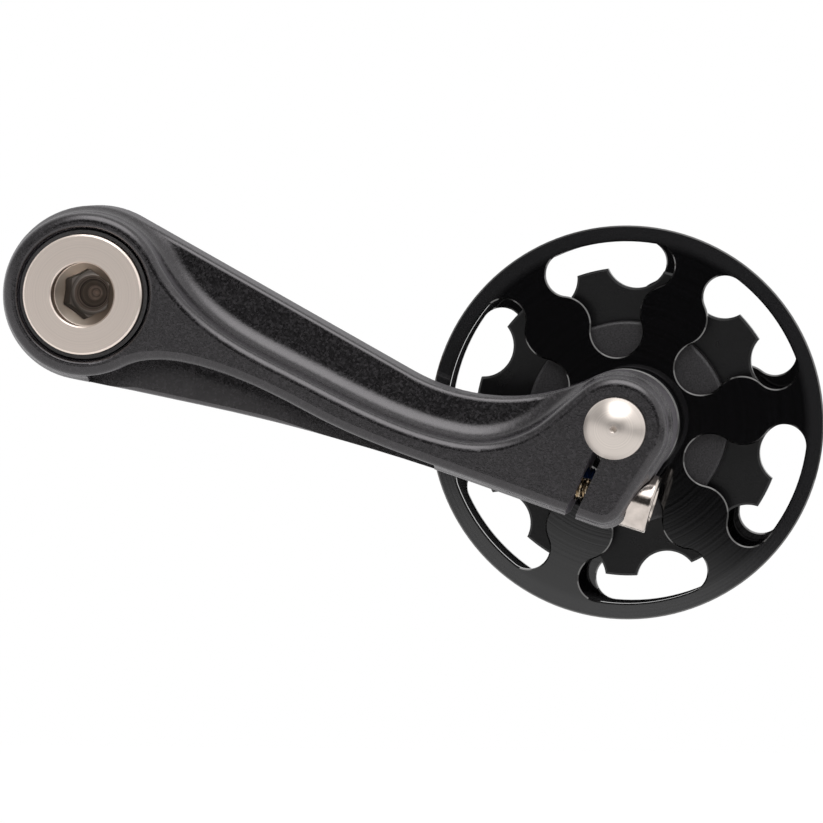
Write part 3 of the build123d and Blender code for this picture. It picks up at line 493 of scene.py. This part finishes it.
tempered, tree, shader, place = finish("tempered_steel", spring_grey, 1.0, 0.35)
skin = use_group(tree, blast_grain, Place=place, Per_metre=2600.0, Mottle_per_metre=420.0)
patches = two_tone(tree, skin.outputs["Mottle"], spring_grey, 0.65, 1.35, 0.35, 0.65)
tree.links.new(patches, shader.inputs["Base Color"])
roughen(tree, shader, skin.outputs["Grain"], 0.25, 0.22)
bump(tree, shader, skin.outputs["Grain"], 0.00001)
spring.data.materials.append(tempered)
dress(tempered, "retaining_ring")

# Stop plate
# Stamped steel disc with a bent lug and a tab, zinc plated. It seats on the hanger and holds the spring's
# rear leg; from the front only a bright sliver of its edge shows over the boss.
zinc_pale = (0.72, 0.70, 0.68)
zinc, tree, shader, place = finish("zinc_plate", zinc_pale, 1.0, 0.3)
skin = use_group(tree, blast_grain, Place=place, Per_metre=1800.0, Mottle_per_metre=300.0)
tree.links.new(two_tone(tree, skin.outputs["Mottle"], zinc_pale, 0.82, 1.1), shader.inputs["Base Color"])
roughen(tree, shader, skin.outputs["Grain"], 0.25, 0.2)
bump(tree, shader, skin.outputs["Grain"], 0.000012)
dress(zinc, "stop_plate")

# Pinch bolt
# Steel cap screw across the slit, with a bright plated head, a hex socket and a rolled 5 mm thread. The
# thread is yellowed by its plating, and a patch of blue thread lock has dried on it inside the slit.
screw_bright = (0.66, 0.59, 0.54)
thread_yellow = (0.64, 0.54, 0.41)
lock_blue = (0.01, 0.05, 0.2)
lock_start, lock_end = (-0.0055, -0.0045), (-0.001, -0.0004)
lock_height = (0.0013, 0.0016)
thread_top = (0.0022, 0.0026)
pinch_centre = np.array([0.070677, -0.0092, -0.026643])
pinch_slope = math.radians(16.85)
pinch_along = np.array([math.cos(pinch_slope), 0.0, -math.sin(pinch_slope)])
pinch_above = np.array([math.sin(pinch_slope), 0.0, math.cos(pinch_slope)])
pinch_around = 96
pinch_crease = 26.0
pinch_outer, pinch_pitch, pinch_depth = 0.0025, 0.0008, 0.00046
tip_reach, tip_radius = -0.01075, 0.0018
shank_start, shank_end = -0.0104, 0.0023
lead_radius, lead_length = 0.0019, 0.0008
neck_start = 0.0025
cap_seat, cap_top, cap_radius = 0.00275, 0.00715, 0.004
cap_chamfer, cap_round, cap_flank = 0.00015, 0.0004, 0.0064
key_apothem, key_mouth = 0.002, 0.00275
key_floor, key_point = 0.00475, 0.0045
key_cone_level, key_cone_radius = 0.0068, 0.0024
turn = np.linspace(0.0, 2.0 * math.pi, pinch_around, endpoint=False)
shank_reach = np.linspace(shank_start, shank_end, 190)
shank_radius = thread_radius(shank_reach, turn, pinch_outer, pinch_pitch, pinch_depth)
lead_run = np.clip((shank_reach - shank_start) / lead_length, 0.0, 1.0)
lead = lead_radius + (pinch_outer - lead_radius) * lead_run
shank_radius = np.minimum(shank_radius, lead[:, None])
corner = np.linspace(0.0, math.pi / 2.0, 8)
head_profile = np.concatenate([
    [(pinch_outer, neck_start), (pinch_outer, cap_seat), (cap_radius - cap_chamfer, cap_seat)],
    [(cap_radius, cap_seat + cap_chamfer), (cap_radius, cap_flank)],
    np.array([cap_radius, cap_top]) + cap_round * (np.stack([np.cos(corner), np.sin(corner)], axis=1) - 1.0),
    [(key_mouth, cap_top)],
])
key_reach = np.linspace(cap_top, key_floor, 26)
key_cone = key_cone_radius + key_reach - key_cone_level
key_flats = key_apothem / np.cos(np.mod(turn, math.pi / 3.0) - math.pi / 6.0)
key_radius = np.maximum(key_cone[:, None], key_flats[None, :])
pinch_radius = np.concatenate([
    np.full((1, pinch_around), tip_radius),
    shank_radius,
    np.repeat(head_profile[:, :1], pinch_around, axis=1),
    key_radius,
])
pinch_reach = np.concatenate([[tip_reach], shank_reach, head_profile[:, 1], key_reach])
pinch_rows = side_rows(
    pinch_radius, np.repeat(pinch_reach[:, None], pinch_around, axis=1),
    pinch_centre, pinch_along, pinch_above,
)
pinch = skin_mesh(
    "pinch_bolt_threaded", pinch_rows,
    pinch_centre + tip_reach * pinch_along, pinch_centre + key_point * pinch_along, pinch_crease,
)
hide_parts("pinch_bolt")
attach(pinch, "arm")

plated, tree, shader, place = finish("plated_screw", screw_bright, 1.0, 0.16)
reach = along_axis(tree, place, pinch_centre, pinch_along)
height = along_axis(tree, place, pinch_centre, pinch_above)
skin = use_group(tree, blast_grain, Place=place, Per_metre=3000.0, Mottle_per_metre=700.0)
head_tone = two_tone(tree, skin.outputs["Mottle"], screw_bright, 0.86, 1.08)
thread_tone = two_tone(tree, skin.outputs["Grain"], thread_yellow, 0.55, 1.15)
on_thread = fade(tree, reach, *thread_top, 1.0, 0.0)
metal = blend(tree, on_thread, head_tone, thread_tone)
ragged = math_node(tree, "MULTIPLY_ADD", skin.outputs["Mottle"], 0.0012, height)
near_slit = math_node(
    tree, "MULTIPLY", fade(tree, reach, *lock_start), fade(tree, reach, *lock_end, 1.0, 0.0)
)
lock = math_node(tree, "MULTIPLY", fade(tree, ragged, *lock_height), near_slit)
tree.links.new(blend(tree, lock, metal, lock_blue), shader.inputs["Base Color"])
tree.links.new(math_node(tree, "SUBTRACT", 1.0, lock), shader.inputs["Metallic"])
gloss = math_node(tree, "MULTIPLY_ADD", skin.outputs["Grain"], 0.2, 0.06)
roughen(tree, shader, lock, 0.5, gloss)
bump(tree, shader, skin.outputs["Grain"], 0.000006)
pinch.data.materials.append(plated)

# Axle pin
# Turned steel pin with a polished domed end that stands out of the clamp, and a lathe centre mark on the
# dome. It slides in the clamp to set the chain line, so fine lines run round it.
pin_centre = (0.072819, 0.0, -0.017953)
pin_bright = (0.7, 0.635, 0.585)
polished, tree, shader, place = finish("polished_pin", pin_bright, 1.0, 0.13)


def centred(tree, place, centre):
    """Place measured from a point. Returns its vector socket."""
    node = tree.nodes.new("ShaderNodeMapping")
    node.inputs["Location"].default_value = tuple(-value for value in centre)
    tree.links.new(place, node.inputs["Vector"])
    return node.outputs["Vector"]


rings = use_group(tree, turning_rings, Place=centred(tree, place, pin_centre), Per_metre=6000.0)
tree.links.new(two_tone(tree, rings.outputs["Rings"], pin_bright, 0.93, 1.05), shader.inputs["Base Color"])
roughen(tree, shader, rings.outputs["Rings"], 0.06, 0.34)
bump(tree, shader, rings.outputs["Rings"], 0.0000005)
dress(polished, "axle_pin")

# End screw and washer
# Button-head screw and plain washer of stainless steel that hold the bearings on the pin's inboard end.
# Both are turned, so fine rings run round them.
stainless_pale = (0.62, 0.61, 0.59)
stainless, tree, shader, place = finish("stainless", stainless_pale, 1.0, 0.3)
rings = use_group(tree, turning_rings, Place=centred(tree, place, pin_centre), Per_metre=4200.0)
tree.links.new(two_tone(tree, rings.outputs["Rings"], stainless_pale, 0.85, 1.1), shader.inputs["Base Color"])
roughen(tree, shader, rings.outputs["Rings"], 0.2, 0.18)
bump(tree, shader, rings.outputs["Rings"], 0.00001)
dress(stainless, "end_screw", "end_washer")

# Ball bearings and spacer
# Two shielded ball bearings: ground bright rings and balls, pressed sheet cages and shields, and a plain
# tube that keeps the inner rings apart.
ground_pale = (0.68, 0.68, 0.67)
ground, tree, shader, place = finish("ground_steel", ground_pale, 1.0, 0.12)
rings = use_group(tree, turning_rings, Place=centred(tree, place, pin_centre), Per_metre=9000.0)
tree.links.new(two_tone(tree, rings.outputs["Rings"], ground_pale, 0.92, 1.06), shader.inputs["Base Color"])
roughen(tree, shader, rings.outputs["Rings"], 0.1, 0.07)
for side in ("front", "rear"):
    dress(ground, f"{side}_bearing_inner_ring", f"{side}_bearing_outer_ring", f"{side}_bearing_balls")
sheet_grey = (0.5, 0.5, 0.49)
pressed, tree, shader, place = finish("pressed_sheet", sheet_grey, 1.0, 0.32)
skin = use_group(tree, blast_grain, Place=place, Per_metre=4000.0, Mottle_per_metre=600.0)
tree.links.new(two_tone(tree, skin.outputs["Mottle"], sheet_grey, 0.8, 1.15), shader.inputs["Base Color"])
roughen(tree, shader, skin.outputs["Grain"], 0.2, 0.2)
for side in ("front", "rear"):
    dress(pressed, f"{side}_bearing_cage", f"{side}_bearing_shields")
dress(pressed, "bearing_spacer")

# Hub sleeve and lock ring
# Flanged tube and ring nut of turned aluminium, anodised gloss black after turning. A thin band of bare
# metal is painted on the flange's front corner as a painted highlight, which shows as a thin bright line.
sleeve_black = (0.008, 0.008, 0.009)
bare_metal = (0.16, 0.157, 0.155)
sleeve_front = -0.0002
highlight_front, highlight_back = (0.00002, 0.00005), (0.00024, 0.0003)
rim_edge = (0.0070, 0.0072)
sleeve_gloss, tree, shader, place = finish("sleeve_gloss", sleeve_black, 0.0, 0.2, 1.65)
rings = use_group(tree, turning_rings, Place=centred(tree, place, pin_centre), Per_metre=3800.0)
tone = two_tone(tree, rings.outputs["Rings"], sleeve_black, 0.7, 1.5)
behind_front = math_node(tree, "SUBTRACT", rings.outputs["Depth"], sleeve_front)
past_face = fade(tree, behind_front, *highlight_front)
corner_end = fade(tree, behind_front, *highlight_back, 1.0, 0.0)
at_rim = fade(tree, rings.outputs["Radius"], *rim_edge)
# Painted highlight: a thin band of bare metal on the flange's front corner
painted_highlight_band = math_node(tree, "MULTIPLY", math_node(tree, "MULTIPLY", past_face, corner_end), at_rim)
tree.links.new(blend(tree, painted_highlight_band, tone, bare_metal), shader.inputs["Base Color"])
tree.links.new(painted_highlight_band, shader.inputs["Metallic"])
roughen(tree, shader, rings.outputs["Rings"], 0.16, 0.12)
bump(tree, shader, rings.outputs["Rings"], 0.000012)
dress(sleeve_gloss, "hub_sleeve", "lock_ring")

# Guide plates
# Two thin aluminium discs, turned flat so that fine rings cross their faces, anodised gloss black, and
# then milled with six windows whose chamfers are left bright.
plate_black = (0.0014, 0.0013, 0.0016)
plate_rim_sheen = (0.013, 0.0128, 0.0135)
plate_faces = {"front_guide_plate": (0.003, 0.0042), "rear_guide_plate": (0.0114, 0.0126)}
plate_chamfer = 0.0002
chamfer_blur = 0.00002
face_margin = 0.00001
rim_sheen_start = (0.0244, 0.0258)
for node, (front_face, back_face) in plate_faces.items():
    gloss, tree, shader, place = finish(f"{node}_gloss", plate_black, 0.0, 0.1, 1.6)
    rings = use_group(tree, turning_rings, Place=centred(tree, place, pin_centre), Per_metre=2600.0)
    tone = two_tone(tree, rings.outputs["Rings"], plate_black, 0.6, 1.6)
    # Painted sheen: the outer rim is painted paler all round
    tone = blend(tree, fade(tree, rings.outputs["Radius"], *rim_sheen_start), tone, plate_rim_sheen)
    depth = rings.outputs["Depth"]
    front_cut = math_node(
        tree, "MULTIPLY",
        fade(tree, depth, front_face + face_margin, front_face + face_margin + chamfer_blur),
        fade(tree, depth, front_face + plate_chamfer - chamfer_blur, front_face + plate_chamfer, 1.0, 0.0),
    )
    back_cut = math_node(
        tree, "MULTIPLY",
        fade(tree, depth, back_face - plate_chamfer, back_face - plate_chamfer + chamfer_blur),
        fade(tree, depth, back_face - face_margin - chamfer_blur, back_face - face_margin, 1.0, 0.0),
    )
    cut = math_node(tree, "MAXIMUM", front_cut, back_cut)
    tree.links.new(blend(tree, cut, tone, bare_metal), shader.inputs["Base Color"])
    tree.links.new(cut, shader.inputs["Metallic"])
    sheen = math_node(tree, "MULTIPLY_ADD", rings.outputs["Rings"], 0.05, 0.02)
    tree.links.new(sheen, shader.inputs["Roughness"])
    bump(tree, shader, rings.outputs["Rings"], 0.0000005)
    dress(gloss, node)

# Pulley
# Moulded black plastic with eleven teeth, a thin web and a full-width hub. The mould's spark-eroded face
# leaves a fine grain; the hub is painted paler than the teeth, a painted sheen where that grain catches the
# light.
pulley_black = (0.0022, 0.002, 0.0024)
hub_painted_sheen = (0.021, 0.0195, 0.021)
hub_edge = (0.0138, 0.0142)
moulded, tree, shader, place = finish("moulded_black", pulley_black, 0.0, 0.3, 1.42)
skin = use_group(tree, blast_grain, Place=place, Per_metre=5200.0, Mottle_per_metre=300.0)
rings = use_group(tree, turning_rings, Place=centred(tree, place, pin_centre), Per_metre=900.0)
tooth_tone = two_tone(tree, skin.outputs["Grain"], pulley_black, 0.5, 1.8)
# Painted sheen: the hub's grain gets a paler colour than the teeth
hub_sheen_tone = two_tone(tree, skin.outputs["Grain"], hub_painted_sheen, 0.45, 1.9)
on_hub = fade(tree, rings.outputs["Radius"], *hub_edge, 1.0, 0.0)
tree.links.new(blend(tree, on_hub, tooth_tone, hub_sheen_tone), shader.inputs["Base Color"])
worn = math_node(tree, "MULTIPLY_ADD", skin.outputs["Mottle"], 0.1, 0.24)
roughen(tree, shader, on_hub, 0.14, worn)
bump(tree, shader, skin.outputs["Grain"], 0.000012)
dress(moulded, "pulley")

# Floor
# Plain white studio table under the part. It is painted matt white, and shows as plain white to the
# camera and in the part's reflections.
floor_drop = 0.11
floor_left, floor_right, floor_half = -1.0, 0.45, 1.0
floor_mesh = bpy.data.meshes.new("floor")
floor_x = np.array([floor_left, floor_right, floor_right, floor_left])
floor_y = np.array([-floor_half, -floor_half, floor_half, floor_half])
floor_points = np.column_stack([floor_x, floor_y, np.full(4, cad_low[2] - floor_drop)])
floor_mesh.from_pydata(floor_points.tolist(), [], [(0, 1, 2, 3)])
floor = bpy.data.objects.new("floor", floor_mesh)
bpy.context.scene.collection.objects.link(floor)
white = bpy.data.materials.new("white_table")
white.use_nodes = True
tree = white.node_tree
diffuse = tree.nodes.new("ShaderNodeBsdfDiffuse")
diffuse.inputs["Color"].default_value = (0.88, 0.88, 0.88, 1.0)
glow = tree.nodes.new("ShaderNodeEmission")
rays = tree.nodes.new("ShaderNodeLightPath")
seen = math_node(tree, "MAXIMUM", rays.outputs["Is Camera Ray"], rays.outputs["Is Glossy Ray"])
seen = math_node(tree, "MAXIMUM", seen, rays.outputs["Is Transmission Ray"])
mix = tree.nodes.new("ShaderNodeMixShader")
tree.links.new(math_node(tree, "MULTIPLY", seen, 0.95), mix.inputs[0])
tree.links.new(diffuse.outputs[0], mix.inputs[1])
tree.links.new(glow.outputs[0], mix.inputs[2])
tree.links.new(mix.outputs[0], tree.nodes["Material Output"].inputs["Surface"])
floor_mesh.materials.append(white)

# Studio
# White backdrop behind, white table below, one large soft box overhead and a grey room in front that is
# darkest round the camera. The gloss black plates mirror the dark part of the room and the table's edge.
world = bpy.data.worlds.new("studio")
bpy.context.scene.world = world
world.use_nodes = True
tree = world.node_tree
room_grey = 0.42
room_dark = 0.03
soft_box = 3.7
side_panel = 1.05
dark_way = np.array([0.05, -1.0, 0.12])
dark_edge = (0.86, 0.975)
table_edge = (0.0765, 0.0885)
backdrop_edge = (-0.1, 0.3)
box_left, box_right = (-0.45, -0.1), (0.4, 0.75)
box_bottom, box_back = (0.36, 0.72), (-0.35, 0.15)
way = tree.nodes.new("ShaderNodeTexCoord").outputs["Generated"]
axes = tree.nodes.new("ShaderNodeSeparateXYZ")
tree.links.new(way, axes.inputs[0])
gap = along_axis(tree, way, (0.0, 0.0, 0.0), dark_way / np.linalg.norm(dark_way))
room = fade(tree, gap, *dark_edge, room_grey, room_dark)
table_side = math_node(tree, "MULTIPLY", axes.outputs["X"], -0.33)
table = fade(tree, math_node(tree, "MULTIPLY_ADD", axes.outputs["Z"], -0.944, table_side), *table_edge)
backdrop = fade(tree, axes.outputs["Y"], *backdrop_edge)
pale_part = math_node(tree, "MAXIMUM", table, backdrop)
level = math_node(tree, "MULTIPLY_ADD", math_node(tree, "SUBTRACT", 1.0, room), pale_part, room)
right_side = math_node(
    tree, "MULTIPLY", fade(tree, axes.outputs["X"], 0.4, 0.62), fade(tree, axes.outputs["Z"], -0.08, 0.1)
)
level = math_node(tree, "MAXIMUM", level, math_node(tree, "MULTIPLY", right_side, side_panel))
overhead = math_node(
    tree, "MULTIPLY", fade(tree, axes.outputs["X"], *box_left),
    fade(tree, axes.outputs["X"], *box_right, 1.0, 0.0),
)
overhead = math_node(tree, "MULTIPLY", overhead, fade(tree, axes.outputs["Z"], *box_bottom))
not_behind = fade(tree, axes.outputs["Y"], *box_back, 1.0, 0.0)
overhead = math_node(tree, "MULTIPLY", overhead, not_behind)
level = math_node(tree, "MAXIMUM", level, math_node(tree, "MULTIPLY", overhead, soft_box))
rays = tree.nodes.new("ShaderNodeLightPath")
lit = math_node(tree, "SUBTRACT", 1.0, rays.outputs["Is Camera Ray"])
level = math_node(tree, "MULTIPLY_ADD", math_node(tree, "SUBTRACT", level, 1.0), lit, 1.0)
tree.links.new(level, tree.nodes["Background"].inputs["Strength"])
tree.nodes["Background"].inputs["Color"].default_value = (1.0, 1.0, 1.0, 1.0)

# Camera
# A long lens a little to the right of square on and a little above, as in the photograph.
# Colours are shown plainly, with no film look.
camera_lens = 290.15
camera_place = (0.14696, -0.90984, 0.02036)
camera_fall, camera_swing = math.radians(2.3), math.radians(6.5)
camera_data = bpy.data.cameras.new("camera")
camera_data.lens = camera_lens
camera_data.clip_start = 0.01
camera = bpy.data.objects.new("camera", camera_data)
camera.location = camera_place
camera.rotation_euler = (math.pi / 2.0 - camera_fall, 0.0, camera_swing)
scene = bpy.context.scene
scene.collection.objects.link(camera)
scene.camera = camera
scene.view_settings.view_transform = "Standard"
